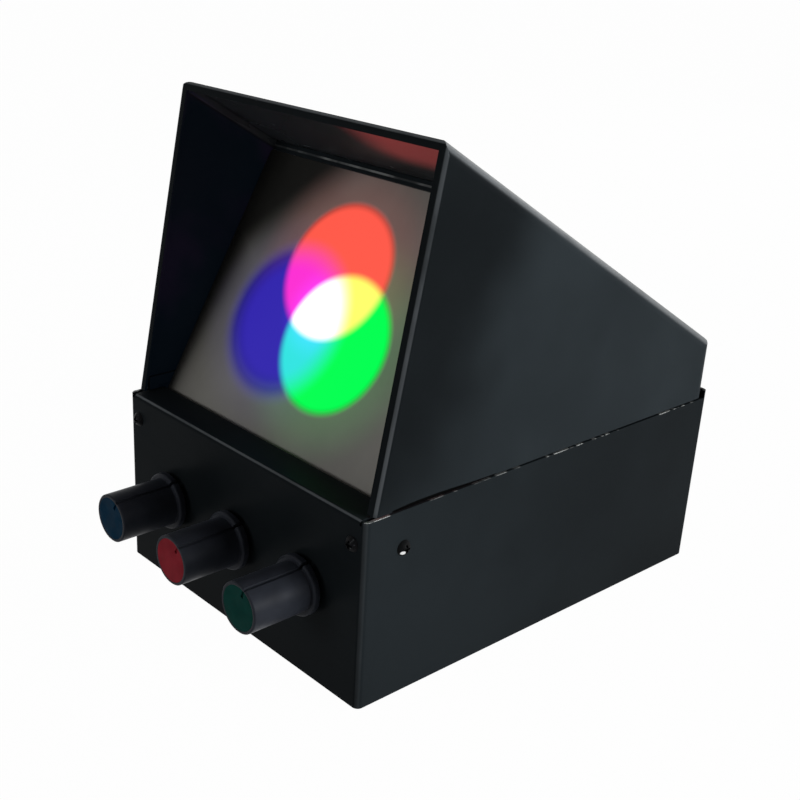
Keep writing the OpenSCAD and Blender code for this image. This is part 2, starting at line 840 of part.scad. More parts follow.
module control(i) {
    cavity_front = 2;
    cavity_len = 5;
    tag = [1.2, tag_reach + 3, 0.6];
    color([0.45, 0.46, 0.48]) in_base() control_frame(i) difference() {
        union() {
            translate([0, 0, -sheet_t - case_len]) cylinder(r = case_r, h = case_len);
            translate([0, 0, -sheet_t - 0.01]) cylinder(r = bush_r, h = sheet_t + bush_out);
            for (k = [-1, 0, 1]) {
                translate([k * tag_pitch - tag.x / 2, -case_r - tag_reach, -sheet_t - case_len + 2])
                    cube(tag);
            }
        }
        translate([0, 0, -sheet_t - cavity_front - 1]) cylinder(r = shaft_r + fit_gap, h = 20);
        translate([0, 0, -sheet_t - cavity_front - cavity_len]) cylinder(r = case_r - 1, h = cavity_len);
    }
}

module control_shaft(i) {
    rotor_t = 1.6;
    color(bare_steel) in_base() control_frame(i) {
        translate([0, 0, -sheet_t - 5]) cylinder(r = shaft_r, h = sheet_t + 5 + knob_bore_end - part_gap);
        translate([0, 0, -sheet_t - 5]) cylinder(r = case_r - 2.2, h = rotor_t);
    }
}

module control_washers() {
    color(bare_steel) in_base() for (i = [0:2]) control_frame(i) difference() {
        cylinder(r = nut_flats / 2 + 0.6, h = washer_t);
        translate([0, 0, -1]) cylinder(r = bush_r + fit_gap, h = 3);
    }
}

module control_nuts() {
    color(bare_steel) in_base() for (i = [0:2]) control_frame(i) translate([0, 0, washer_t]) difference() {
        cylinder(r = nut_flats / 2 / cos(30), h = nut_t, $fn = 6);
        translate([0, 0, -1]) cylinder(r = bush_r + fit_gap, h = nut_t + 2);
    }
}

// A knob is turned from one profile, bored for its shaft, fixing nut and cap, and grooved for its pointer
module knob(i) {
    body_r = knob_dia / 2;
    skirt_r = skirt_dia / 2;
    skirt_top = knob_gap + skirt_h;
    round_r = 0.8;
    edge = 0.3;
    nut_room_r = nut_flats / 2 / cos(30) + 0.8;
    color(plastic_black) in_base() control_frame(i) difference() {
        rotate_extrude($fn = 96) {
            polygon([
                [0, knob_gap],
                [skirt_r - edge, knob_gap],
                [skirt_r, knob_gap + edge],
                [skirt_r, skirt_top - round_r],
                [skirt_r - round_r, skirt_top],
                [body_r, skirt_top],
                [body_r, knob_reach - edge],
                [body_r - edge, knob_reach],
                [0, knob_reach]
            ]);
            translate([skirt_r - round_r, skirt_top - round_r]) circle(round_r);
        }
        cylinder(r = shaft_r + fit_gap, h = knob_bore_end);
        translate([0, 0, knob_gap - 1]) cylinder(r = nut_room_r, h = washer_t + nut_t + 1.6);
        translate([0, 0, knob_reach - cap_t]) cylinder(r = cap_dia / 2 + fit_gap, h = cap_t + 1);
        rotate(-pointer_turns[i]) translate([-pointer_w / 2, body_r - pointer_depth, knob_gap - 1]) {
            cube([pointer_w, 2 * skirt_h, knob_reach + 2]);
        }
    }
}

module knob_cap(i) {
    notch_len = 2.4;
    color(cap_colours[i]) in_base() control_frame(i) rotate(-pointer_turns[i]) difference() {
        translate([0, 0, knob_reach - cap_t]) cylinder(r = cap_dia / 2, h = cap_t, $fn = 96);
        translate([-pointer_w / 2, cap_dia / 2 - notch_len, knob_reach - pointer_depth])
            cube([pointer_w, 2 * notch_len, 2 * pointer_depth]);
    }
}

// Rear fittings

module switch_body() {
    window = [rocker_w + 0.6, 2 * (rocker_radius + part_gap)];
    floor_t = 1.5;
    color(plastic_black) in_base() rear_frame(fitting_x, fitting_z) difference() {
        union() {
            block(bezel, 1.5);
            translate([0, 0, -switch_case.z]) block(switch_case, 0);
            for (y = [-5, 5]) translate([-2.4, y - 0.4, -switch_case.z - tab_len]) {
                cube([4.8, 0.8, tab_len + 1]);
            }
        }
        translate([-window.x / 2, -window.y / 2, -switch_case.z + floor_t]) cube([window.x, window.y, 30]);
        rotate([0, 90, 0]) cylinder(r = rocker_pin_r + fit_gap, h = rocker_w + 1.6, center = true);
    }
}

module switch_rocker() {
    color(plastic_black) in_base() rear_frame(fitting_x, fitting_z) rotate([rocker_tilt, 0, 0]) {
        across(rocker_w) intersection() {
            circle(rocker_radius, $fn = 96);
            polygon([
                [-rocker_half, -rocker_depth],
                [rocker_half, -rocker_depth],
                [rocker_half, rocker_crest],
                [0, rocker_dip],
                [-rocker_half, rocker_crest]
            ]);
        }
        rotate([0, 90, 0]) cylinder(r = rocker_pin_r, h = rocker_w + 1.2, center = true);
    }
}

module power_inlet() {
    color(plastic_black) in_base() rear_frame(-fitting_x, fitting_z) {
        difference() {
            union() {
                translate([0, 0, -inlet_len]) cylinder(r = inlet_thread_r, h = inlet_len + 1);
                cylinder(r = inlet_flange_r, h = 2);
                for (y = [-2, 2]) translate([-1.2, y - 0.3, -inlet_len - 5]) cube([2.4, 0.6, 6]);
            }
            translate([0, 0, -inlet_len + 2]) cylinder(r = inlet_bore_r, h = inlet_len + 2);
        }
        translate([0, 0, -inlet_len + 1]) cylinder(r = inlet_pin_r, h = inlet_len);
    }
}

module inlet_nut() {
    color(bare_steel) in_base() rear_frame(-fitting_x, fitting_z) {
        translate([0, 0, -sheet_t - nut_t]) difference() {
            cylinder(r = nut_flats / 2 / cos(30), h = nut_t, $fn = 6);
            translate([0, 0, -1]) cylinder(r = inlet_thread_r + fit_gap, h = nut_t + 2);
        }
    }
}

// Fasteners

module front_screws() {
    color(metal_black) in_base() at_front_screws() pan_screw(wall_screw_len);
}

module side_screws() {
    color(metal_black) in_base() at_side_screws() pan_screw(wall_screw_len);
}

module rear_screws() {
    color(metal_black) in_base() at_rear_screws() pan_screw(wall_screw_len);
}

module bottom_screws() {
    color(metal_black) in_base() at_bottom_screws() pan_screw(floor_screw_len);
}

module bracket_screws() {
    color(metal_black) in_base() at_bracket_screws() pan_screw(floor_screw_len);
}

module board_screws() {
    color(bare_steel) in_base() translate([0, 0, spacer_h + board_t]) at_board_corners() {
        pan_screw(board_t + board_screw_grip);
    }
}

base_shell();
bottom_plate();
rubber_feet();
hood_shell();
screen();
screen_top_rail();
screen_bottom_rail();
lamp_bracket();
lamp_tube(0);  // red_lamp_tube
lamp_tube(1);  // green_lamp_tube
lamp_tube(2);  // blue_lamp_tube
lens(0);  // red_lens
lens(1);  // green_lens
lens(2);  // blue_lens
lens_ring(0);  // red_lens_ring
lens_ring(1);  // green_lens_ring
lens_ring(2);  // blue_lens_ring
lamp_board(0);  // red_lamp_board
lamp_board(1);  // green_lamp_board
lamp_board(2);  // blue_lamp_board
emitter(0);  // red_emitter
emitter(1);  // green_emitter
emitter(2);  // blue_emitter
heat_sink(0);  // red_heat_sink
heat_sink(1);  // green_heat_sink
heat_sink(2);  // blue_heat_sink
driver_board();
board_spacers();
driver_transistors();
driver_capacitors();
driver_chip();
terminal_blocks();
control(0);  // blue_control
control(1);  // red_control
control(2);  // green_control
control_shaft(0);  // blue_shaft
control_shaft(1);  // red_shaft
control_shaft(2);  // green_shaft
control_washers();
control_nuts();
knob(0);  // blue_knob
knob(1);  // red_knob
knob(2);  // green_knob
knob_cap(0);  // blue_cap
knob_cap(1);  // red_cap
knob_cap(2);  // green_cap
switch_body();
switch_rocker();
power_inlet();
inlet_nut();
front_screws();
side_screws();
rear_screws();
bottom_screws();
bracket_screws();
board_screws();
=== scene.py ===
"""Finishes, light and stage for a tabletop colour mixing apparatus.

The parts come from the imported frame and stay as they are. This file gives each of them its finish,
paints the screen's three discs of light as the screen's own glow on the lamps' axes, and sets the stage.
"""

import math

import bpy
from bpy.props import FloatProperty, FloatVectorProperty, PointerProperty
from mathutils import Matrix, Vector


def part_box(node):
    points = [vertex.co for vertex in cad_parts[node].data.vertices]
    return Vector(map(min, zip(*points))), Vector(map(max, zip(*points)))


bl_info = {
    "name": "Colour Mixing Apparatus",
    "version": (1, 0, 0),
    "blender": (4, 5, 0),
    "location": "View3D > Sidebar > Colour Mixing",
    "description": "Finishes, light and stage for a tabletop colour mixing apparatus",
    "category": "Object",
}

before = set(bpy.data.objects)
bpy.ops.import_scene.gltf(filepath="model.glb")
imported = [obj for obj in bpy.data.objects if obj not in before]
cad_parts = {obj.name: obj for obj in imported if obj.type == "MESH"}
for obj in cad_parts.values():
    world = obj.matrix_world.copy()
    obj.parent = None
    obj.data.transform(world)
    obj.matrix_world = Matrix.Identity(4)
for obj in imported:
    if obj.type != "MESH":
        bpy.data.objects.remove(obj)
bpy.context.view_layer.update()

LAMPS = ("red", "green", "blue")
KNOBS = ("blue", "red", "green")
MM = 0.001
MICRON = 0.000001

# How far the base's rear wall stands above its side walls
REAR_RISE = 2.6 * MM

# How far the hood's front edge leans back for each metre of height
HOOD_LEAN = 19.2 / 102.3

# Most of a noise lies between these values
NOISE_LOW, NOISE_HIGH = 0.3, 0.7
BEVEL_SAMPLES = 6

# On the hood's roof from below: its smoothing, and its painted sheen as a share of the bends' painted
# highlight
SHELTERED_SMOOTHING = 0.3
SHELTERED_HIGHLIGHT = 0.35

# Metallic share of the coat where its painted highlight is full
HIGHLIGHT_SHINE = 0.4

# Where the side walls' top edges are rubbed: start and end in millimetres from the front, and how much
RUBBED_STRETCHES = (
    (-5, 9, 0.75),
    (22, 50, 0.3),
    (52, 63, 0.5),
    (75, 92, 1.0),
    (97, 110, 0.8),
    (132, 151, 1.0),
)

# Painted glow standing in for the light that the discs throw on the hood's roof and on its left wall, and
# more of it in patches there
ROOF_SPILL = (0.13, 0.014, 0.014)
WALL_SPILL = (0.0006, 0.0016, 0.003)
WALL_PATCHES = (0.0022, 0.0004, 0.0022)

TURNING_PITCH = 0.35 * MM
FINE_EDGE = 0.1 * MM

# Place of the painted glint on the side screws' heads, measured from their axis
GLINT_SPOT = Vector((0, -1.2 * MM, -0.9 * MM))

# The size and the place of each light, in metres
LIGHTS = {
    "key": ((0.5, 0.5), (0.98, 0.33, 0.3)),
    "fill": ((0.35, 0.35), (-0.22, -1.02, 0.28)),
    "rear": ((1.0, 0.4), (0.0, 1.0, 0.32)),
}
LIGHT_TARGET = (0, 0, 0.07)
SENSOR_WIDTH = 36
PICTURE_SHIFT = (0.125, 0.0375)
FLOOR_COLOUR = (0.85, 0.85, 0.85, 1)


def shade(red, green, blue):
    """A colour given in display values from 0 to 255, as linear values from 0 to 1."""
    linear = []
    for value in (red, green, blue):
        part = value / 255
        linear.append(part / 12.92 if part <= 0.04045 else ((part + 0.055) / 1.055) ** 2.4)
    return tuple(linear)


def middle(node):
    """The centre of a CAD node's box."""
    low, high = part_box(node)
    return (low + high) / 2


# Settings


class FinishSettings(bpy.types.PropertyGroup):
    """Colours and textures of the object's own surfaces."""

    coat: FloatVectorProperty(
        name="Powder coat",
        description="Colour of the coated sheet metal",
        subtype="COLOR",
        min=0,
        max=1,
        default=shade(32, 37, 40),
    )
    coat_roughness: FloatProperty(
        name="Powder coat roughness",
        description="How dull the coated sheet metal is",
        subtype="FACTOR",
        min=0,
        max=1,
        default=0.34,
    )
    coat_grain: FloatProperty(
        name="Powder coat grain",
        description="Width of the coat's orange peel",
        unit="LENGTH",
        min=0.0002,
        max=0.005,
        default=0.0009,
    )
    # The bends are mixed towards this colour as a painted highlight, standing in for the light that runs
    # along them
    bend_highlight_colour: FloatVectorProperty(
        name="Bend highlight",
        description="Colour of the coat where a highlight is painted on its bends",
        subtype="COLOR",
        min=0,
        max=1,
        default=shade(76, 80, 83),
    )
    bare_metal: FloatVectorProperty(
        name="Bare metal",
        description="Colour of the steel where the coat is worn off",
        subtype="COLOR",
        min=0,
        max=1,
        default=shade(168, 171, 170),
    )
    edge_round: FloatProperty(
        name="Edge rounding",
        description="Radius at which edges catch the light",
        unit="LENGTH",
        min=0,
        max=0.002,
        default=0.00035,
    )
    knob: FloatVectorProperty(
        name="Knob plastic",
        description="Colour of the knobs' black bodies",
        subtype="COLOR",
        min=0,
        max=1,
        default=shade(43, 46, 53),
    )
    blue_cap: FloatVectorProperty(
        name="Blue cap",
        description="Colour of the left knob's cap",
        subtype="COLOR",
        min=0,
        max=1,
        default=shade(0, 43, 66),
    )
    red_cap: FloatVectorProperty(
        name="Red cap",
        description="Colour of the middle knob's cap",
        subtype="COLOR",
        min=0,
        max=1,
        default=shade(146, 42, 52),
    )
    green_cap: FloatVectorProperty(
        name="Green cap",
        description="Colour of the right knob's cap",
        subtype="COLOR",
        min=0,
        max=1,
        default=shade(6, 58, 52),
    )
    screen_sheet: FloatVectorProperty(
        name="Screen sheet",
        description="Colour of the screen where no lamp lights it",
        subtype="COLOR",
        min=0,
        max=1,
        default=shade(150, 148, 142),
    )


class DiscSettings(bpy.types.PropertyGroup):
    """The three discs of light on the screen."""

    radius: FloatProperty(
        name="Disc radius",
        description="Radius at which a disc has half its strength",
        unit="LENGTH",
        min=0.005,
        max=0.05,
        default=0.0219,
    )
    softness: FloatProperty(
        name="Edge softness",
        description="Width over which a disc fades",
        unit="LENGTH",
        min=0.0005,
        max=0.02,
        default=0.004,
    )
    blue_radius: FloatProperty(
        name="Blue disc radius",
        description="Radius of the blue disc, whose lamp is focused less sharply",
        unit="LENGTH",
        min=0.005,
        max=0.05,
        default=0.0228,
    )
    blue_softness: FloatProperty(
        name="Blue edge softness",
        description="Width over which the blue disc fades",
        unit="LENGTH",
        min=0.0005,
        max=0.02,
        default=0.013,
    )
    glow_radius: FloatProperty(
        name="Glow radius",
        description="Radius at which the glow round a disc ends",
        unit="LENGTH",
        min=0.02,
        max=0.1,
        default=0.04,
    )
    glow: FloatProperty(
        name="Glow",
        description="Strength of the glow round a disc",
        subtype="FACTOR",
        min=0,
        max=1,
        default=0.06,
    )
    core_radius: FloatProperty(
        name="Core radius",
        description="Radius of the bright core where the three discs meet",
        unit="LENGTH",
        min=0.005,
        max=0.04,
        default=0.017,
    )
    red: FloatVectorProperty(
        name="Red light",
        description="Colour of the red disc",
        subtype="COLOR",
        min=0,
        max=1,
        default=(1.0, 0.105, 0.07),
    )
    green: FloatVectorProperty(
        name="Green light",
        description="Colour of the green disc",
        subtype="COLOR",
        min=0,
        max=1,
        default=(0.0, 1.0, 0.085),
    )
    blue: FloatVectorProperty(
        name="Blue light",
        description="Colour of the blue disc",
        subtype="COLOR",
        min=0,
        max=1,
        default=(0.034, 0.021, 0.42),
    )
    red_over_blue: FloatVectorProperty(
        name="Red light over blue",
        description="Colour that the red disc adds to the blue one",
        subtype="COLOR",
        min=0,
        max=1,
        default=(0.95, 0.01, 0.24),
    )
    green_over_blue: FloatVectorProperty(
        name="Green light over blue",
        description="Colour that the green disc adds to the blue one",
        subtype="COLOR",
        min=0,
        max=1,
        default=(0.0, 0.76, 0.34),
    )
    core_gain: FloatProperty(
        name="Core gain",
        description="How much brighter the light is where all three discs meet",
        min=0,
        max=3,
        default=0.8,
    )


class StageSettings(bpy.types.PropertyGroup):
    """Camera, lights and floor."""

    azimuth: FloatProperty(
        name="Azimuth",
        description="Direction of the camera's axis round the object",
        subtype="ANGLE",
        default=math.radians(50.14),
    )
    elevation: FloatProperty(
        name="Elevation",
        description="Height of the camera's axis above the horizon",
        subtype="ANGLE",
        default=math.radians(23.6),
    )
    roll: FloatProperty(
        name="Roll",
        description="Turn of the camera about its axis",
        subtype="ANGLE",
        default=math.radians(1.56),
    )
    place: FloatVectorProperty(
        name="Camera place",
        description="Place of the camera from the front panel's middle, at the base's underside",
        unit="LENGTH",
        size=3,
        default=(0.28516, -0.21251, 0.22422),
    )
    lens: FloatProperty(
        name="Lens",
        description="Focal length in millimetres on a 36 mm sensor",
        min=10,
        max=300,
        default=57.28,
    )
    key: FloatProperty(
        name="Key light",
        description="Power of the soft light on the right, a little to the rear",
        unit="POWER",
        min=0,
        default=9.5,
    )
    fill: FloatProperty(
        name="Fill light",
        description="Power of the soft light in front, a little to the left",
        unit="POWER",
        min=0,
        default=1.9,
    )
    rear: FloatProperty(
        name="Rear light",
        description="Power of the wide light behind, which runs along the hood's bends",
        unit="POWER",
        min=0,
        default=2.4,
    )
    surroundings: FloatProperty(
        name="Surroundings",
        description="Strength of the even light from all round",
        min=0,
        default=0.056,
    )
    floor_glow: FloatProperty(
        name="Floor whiteness",
        description="Share of the floor's look that is plain white",
        subtype="FACTOR",
        min=0,
        max=1,
        default=0.985,
    )


class MixerSettings(bpy.types.PropertyGroup):
    """All settings of the colour mixing apparatus."""

    finish: PointerProperty(type=FinishSettings)
    discs: PointerProperty(type=DiscSettings)
    stage: PointerProperty(type=StageSettings)


# Material building


def opaque(value):
    """A colour of three numbers with an alpha of one added, and anything else as it is."""
    if isinstance(value, tuple) and len(value) == 3:
        return (*value, 1.0)
    return value


class Finish:
    """A procedural material, built round one Principled shader."""

    def __init__(self, name):
        self.material = bpy.data.materials.new(name)
        self.material.use_nodes = True
        self.tree = self.material.node_tree
        self.tree.nodes.clear()
        output = self.node("ShaderNodeOutputMaterial")
        self.shader = self.node("ShaderNodeBsdfPrincipled")
        self.link(self.shader.outputs["BSDF"], output.inputs["Surface"])
        self.place = self.node("ShaderNodeTexCoord").outputs["Object"]

    def node(self, kind, **settings):
        """Adds a node and sets its plain settings."""
        made = self.tree.nodes.new(kind)
        for name, value in settings.items():
            setattr(made, name, value)
        return made

    def link(self, source, target):
        """Links an output socket to an input socket."""
        self.tree.links.new(source, target)

    def feed(self, socket, value):
        """Links another socket to this one, or sets it to a plain value."""
        if isinstance(value, bpy.types.NodeSocket):
            self.link(value, socket)
        else:
            socket.default_value = value

    def set(self, **values):
        """Feeds the shader's own sockets, named with underscores for spaces."""
        for name, value in values.items():
            self.feed(self.shader.inputs[name.replace("_", " ")], opaque(value))

    def calc(self, operation, *values):
        """The result of an operation on numbers."""
        made = self.node("ShaderNodeMath", operation=operation)
        for socket, value in zip(made.inputs, values):
            self.feed(socket, value)
        return made.outputs[0]

    def product(self, number, *others):
        """All the numbers multiplied together."""
        for other in others:
            number = self.calc("MULTIPLY", number, other)
        return number

    def vector(self, operation, *values, output=0):
        """The result of an operation on vectors."""
        made = self.node("ShaderNodeVectorMath", operation=operation)
        for socket, value in zip(made.inputs, values):
            self.feed(socket, value)
        return made.outputs[output]

    def grow(self, colour, amount):
        """A colour or vector times a number."""
        made = self.node("ShaderNodeVectorMath", operation="SCALE")
        self.feed(made.inputs[0], colour)
        self.feed(made.inputs["Scale"], amount)
        return made.outputs[0]

    def ramp(self, value, low, high, start=0.0, end=1.0):
        """Maps value softly from low..high to start..end, held at both ends."""
        made = self.node("ShaderNodeMapRange", clamp=True, interpolation_type="SMOOTHSTEP")
        self.feed(made.inputs["Value"], value)
        made.inputs["From Min"].default_value = low
        made.inputs["From Max"].default_value = high
        made.inputs["To Min"].default_value = start
        made.inputs["To Max"].default_value = end
        return made.outputs["Result"]

    def band(self, value, start, first, last, end):
        """One where value lies from first to last, fading to zero at start and at end."""
        return self.product(self.ramp(value, start, first), self.ramp(value, end, last))

    def noise(self, width, detail=2.0, stretch=(1, 1, 1), shift=(0, 0, 0), roughness=0.5):
        """Noise whose features are about width metres across."""
        mapping = self.node("ShaderNodeMapping")
        self.link(self.place, mapping.inputs["Vector"])
        mapping.inputs["Scale"].default_value = stretch
        mapping.inputs["Location"].default_value = shift
        made = self.node("ShaderNodeTexNoise")
        self.link(mapping.outputs["Vector"], made.inputs["Vector"])
        made.inputs["Scale"].default_value = 1 / width
        made.inputs["Detail"].default_value = detail
        made.inputs["Roughness"].default_value = roughness
        return made.outputs["Fac"]

    def axis(self, letter):
        """One coordinate of the surface point, in metres."""
        split = self.node("ShaderNodeSeparateXYZ")
        self.link(self.place, split.inputs["Vector"])
        return split.outputs[letter]

    def mix(self, share, first, second):
        """A colour between first and second."""
        made = self.node("ShaderNodeMix", data_type="RGBA")
        self.feed(made.inputs["Factor"], share)
        self.feed(self.colour_socket(made.inputs, "A"), opaque(first))
        self.feed(self.colour_socket(made.inputs, "B"), opaque(second))
        return self.colour_socket(made.outputs, "Result")

    @staticmethod
    def colour_socket(sockets, name):
        """The one of the sockets with that name that carries a colour."""
        return next(socket for socket in sockets if socket.name == name and socket.type == "RGBA")

    def tint(self, colour, amount, width):
        """The colour, a little lighter and darker in soft patches."""
        patches = self.noise(width, detail=3)
        return self.grow(colour, self.ramp(patches, NOISE_LOW, NOISE_HIGH, 1 - amount, 1 + amount))

    def relief(self, heights, edge_radius=0.0):
        """Bumps from a list of (height, depth in metres), over edges rounded by edge_radius."""
        normal = None
        if edge_radius > 0:
            bevel = self.node("ShaderNodeBevel", samples=BEVEL_SAMPLES)
            bevel.inputs["Radius"].default_value = edge_radius
            normal = bevel.outputs["Normal"]
        for height, depth in heights:
            bump = self.node("ShaderNodeBump")
            bump.inputs["Strength"].default_value = 1.0
            bump.inputs["Distance"].default_value = depth
            self.link(height, bump.inputs["Height"])
            if normal is not None:
                self.link(normal, bump.inputs["Normal"])
            normal = bump.outputs["Normal"]
        self.link(normal, self.shader.inputs["Normal"])


def axis_distance(finish, point, direction):
    """Distance of the surface point from the line through point along direction."""
    offset = finish.vector("SUBTRACT", finish.place, tuple(point))
    along = finish.vector("DOT_PRODUCT", offset, tuple(direction), output="Value")
    across = finish.vector("SUBTRACT", offset, finish.grow(tuple(direction), along))
    return finish.vector("LENGTH", across, output="Value")


def behind_front(finish, node):
    """Distance of the surface point behind the front of a node's box."""
    return finish.calc("SUBTRACT", finish.axis("Y"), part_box(node)[0].y)


def dress(material, *nodes):
    """Gives CAD nodes this material."""
    for name in nodes:
        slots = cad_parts[name].data.materials
        slots.clear()
        slots.append(material)


# Sheet metal


def coated_steel(settings, name, wear_and_highlight_mask=None, dust_and_painted_shade=None, spill=None, wear_and_highlight_shine=0.8):
    """Black powder coat with orange peel, smudges and worn edges, painted highlights on bends and on the
    rail, and painted light and shade.
    """
    finish = Finish(name)
    facing = finish.node("ShaderNodeSeparateXYZ")
    finish.link(finish.node("ShaderNodeTexCoord").outputs["Normal"], facing.inputs["Vector"])
    sheltered = finish.ramp(facing.outputs["Z"], -0.4, -0.6)

    peel = finish.noise(settings.coat_grain, detail=1.5)
    smudges = finish.noise(35 * MM, detail=4, roughness=0.6)
    scuffs = finish.noise(4 * MM, detail=3, stretch=(0.25, 1, 1.8), shift=(0.3, 0.1, 0))
    smoothest, dullest = settings.coat_roughness - 0.06, settings.coat_roughness + 0.08
    smudged = finish.ramp(smudges, 0.35, 0.7, smoothest, dullest)
    scuffed = finish.calc("ADD", smudged, finish.ramp(scuffs, 0.62, 0.75, 0.0, 0.08))
    roughness = finish.product(scuffed, finish.calc("MULTIPLY_ADD", sheltered, -SHELTERED_SMOOTHING, 1.0))

    colour = finish.tint(tuple(settings.coat), 0.12, 50 * MM)
    # Painted light and shade: the coat turns darker or lighter by place, as the light falls on it
    if dust_and_painted_shade is not None:
        colour = finish.grow(colour, dust_and_painted_shade(finish))
    # Painted highlight: the bends, and less so the roof's underside, turn lighter and more metallic where
    # light would catch them
    bend_highlight = finish.product(on_bends(finish, facing), finish.ramp(smudges, 0.25, 0.6, 0.4, 1.0))
    highlight_share = finish.calc("MAXIMUM", bend_highlight, finish.product(sheltered, SHELTERED_HIGHLIGHT))
    colour = finish.mix(highlight_share, colour, tuple(settings.bend_highlight_colour))
    shine = finish.product(highlight_share, HIGHLIGHT_SHINE)
    # The base's and the hood's marks are real wear; the rail's line is a painted highlight
    if wear_and_highlight_mask is not None:
        wear_and_highlight = wear_and_highlight_mask(finish)
        colour = finish.mix(wear_and_highlight, colour, tuple(settings.bare_metal))
        shine = finish.calc("MAXIMUM", shine, finish.product(wear_and_highlight, wear_and_highlight_shine))
    finish.set(Base_Color=colour, Roughness=roughness, Metallic=shine, Specular_IOR_Level=0.01)
    if spill is not None:
        finish.set(Emission_Color=spill(finish, facing, sheltered), Emission_Strength=1.0)
    finish.relief([(peel, 20 * MICRON), (scuffs, 10 * MICRON)], settings.edge_round)
    return finish.material


def on_bends(finish, facing):
    """One on the folded sheet's bends, less on the base's upright ones, and zero on the flat walls."""
    sideways = finish.calc("ABSOLUTE", facing.outputs["X"])
    upward = facing.outputs["Z"]
    forward = finish.product(facing.outputs["Y"], -1.0)
    above_base = finish.ramp(finish.axis("Z"), 62 * MM, 66 * MM, 0.3, 1.0)
    side_bends = finish.product(finish.band(sideways, 0.22, 0.45, 0.82, 0.95), above_base)
    sill_bend = finish.product(finish.band(upward, 0.55, 0.75, 0.9, 0.98), finish.ramp(forward, 0.1, 0.25))
    return finish.calc("MAXIMUM", side_bends, sill_bend)


def along_front(finish, node, start, end):
    """One between two distances from the node's front, in millimetres, and zero beyond them."""
    depth = behind_front(finish, node)
    blur = 0.5 * MM
    return finish.band(depth, start * MM - blur, start * MM + blur, end * MM - blur, end * MM + blur)


def base_wear(finish):
    """Where the coat is rubbed off the top edges of the base's side walls."""
    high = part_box("base_shell")[1]
    wall_top = high.z - REAR_RISE
    chips = finish.ramp(finish.noise(6 * MM, detail=4, shift=(0, 0.4, 0), roughness=0.65), 0.44, 0.56)
    rubbed = 0.0
    for start, end, strength in RUBBED_STRETCHES:
        stretch = finish.product(along_front(finish, "base_shell", start, end), strength)
        rubbed = finish.calc("MAXIMUM", rubbed, stretch)
    on_top = finish.ramp(finish.axis("Z"), wall_top - 0.25 * MM, wall_top - 0.1 * MM)
    outward = finish.calc("ABSOLUTE", finish.axis("X"))
    on_side = finish.ramp(outward, high.x - 1.3 * MM, high.x - 0.9 * MM)
    return finish.product(rubbed, chips, on_top, on_side)


def base_painted_shade(finish):
    """Painted shade: darkest on the front, and on the side walls darker towards the rear and towards the
    table.
    """
    depth = behind_front(finish, "base_shell")
    front = finish.ramp(depth, 0.3 * MM, 0.9 * MM, 0.6, 1.0)
    sides = finish.ramp(depth, 10 * MM, 150 * MM, 1.1, 0.68)
    height = finish.ramp(finish.axis("Z"), 0.0, 60 * MM, 0.88, 1.04)
    return finish.product(front, sides, height)


def hood_painted_light(finish):
    """Painted light: lightens the hood's sides behind their front edge, most of all low down, over a painted
    shadow in the seam.
    """
    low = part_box("hood_shell")[0]
    wall_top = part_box("base_shell")[1].z - REAR_RISE
    rise = finish.calc("SUBTRACT", finish.axis("Z"), wall_top)
    front_edge = finish.calc("MULTIPLY_ADD", rise, HOOD_LEAN, low.y)
    behind = finish.calc("SUBTRACT", finish.axis("Y"), front_edge)
    border_lean = 0.45
    within = finish.calc("MULTIPLY_ADD", rise, -border_lean, behind)
    clouds = finish.ramp(finish.noise(50 * MM, detail=2), NOISE_LOW, NOISE_HIGH, -8 * MM, 8 * MM)
    lit_share = finish.ramp(finish.calc("ADD", within, clouds), -12 * MM, 34 * MM, 0.62, 1.5)
    # Painted shadow that darkens the seam over the base's side walls
    seam_shadow_strength = 0.98
    seam_shade = finish.calc("MULTIPLY_ADD", seam_shadow(finish, rise), -seam_shadow_strength, 1.0)
    return finish.product(lit_share, seam_shade)


def seam_shadow(finish, rise):
    """One in a painted shadow that widens the black gap over the base's side walls, highest 20 to 25 mm
    behind their front.
    """
    depth = behind_front(finish, "base_shell")
    widening = finish.ramp(depth, 8 * MM, 20 * MM, 0.0, 0.5 * MM)
    narrowing = finish.ramp(depth, 25 * MM, 50 * MM, 0.0, 0.7 * MM)
    lifted = finish.calc("ADD", rise, finish.calc("SUBTRACT", narrowing, widening))
    return finish.product(finish.ramp(lifted, 1.1 * MM, 0.8 * MM), along_front(finish, "base_shell", 10, 52))


def hood_spill(finish, facing, sheltered):
    """Painted glow: red light under the roof's right front, and navy light with violet patches on the left
    inner wall.
    """
    to_right = finish.ramp(finish.axis("X"), 4 * MM, 26 * MM)
    to_front = finish.ramp(finish.axis("Y"), -20 * MM, -32 * MM)
    roof = finish.grow(ROOF_SPILL, finish.product(to_right, sheltered, to_front))
    inward = finish.ramp(facing.outputs["X"], 0.9, 0.97)
    on_wall = finish.product(inward, finish.ramp(finish.axis("X"), -50 * MM, -55 * MM))
    patches = finish.ramp(finish.noise(30 * MM, detail=2), 0.45, 0.65)
    wall = finish.grow(WALL_SPILL, on_wall)
    wall = finish.vector("ADD", wall, finish.grow(WALL_PATCHES, finish.product(on_wall, patches)))
    return finish.vector("ADD", roof, wall)


def rail_highlight(finish):
    """A painted highlight: a light line along the top rail's front, where its bend catches the light."""
    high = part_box("screen_top_rail")[1]
    drop = finish.calc("SUBTRACT", high.z, finish.axis("Z"))
    line = finish.band(drop, 1.0 * MM, 1.2 * MM, 1.5 * MM, 1.8 * MM)
    return finish.product(line, finish.ramp(finish.noise(8 * MM, detail=3), 0.35, 0.65, 0.1, 0.7))


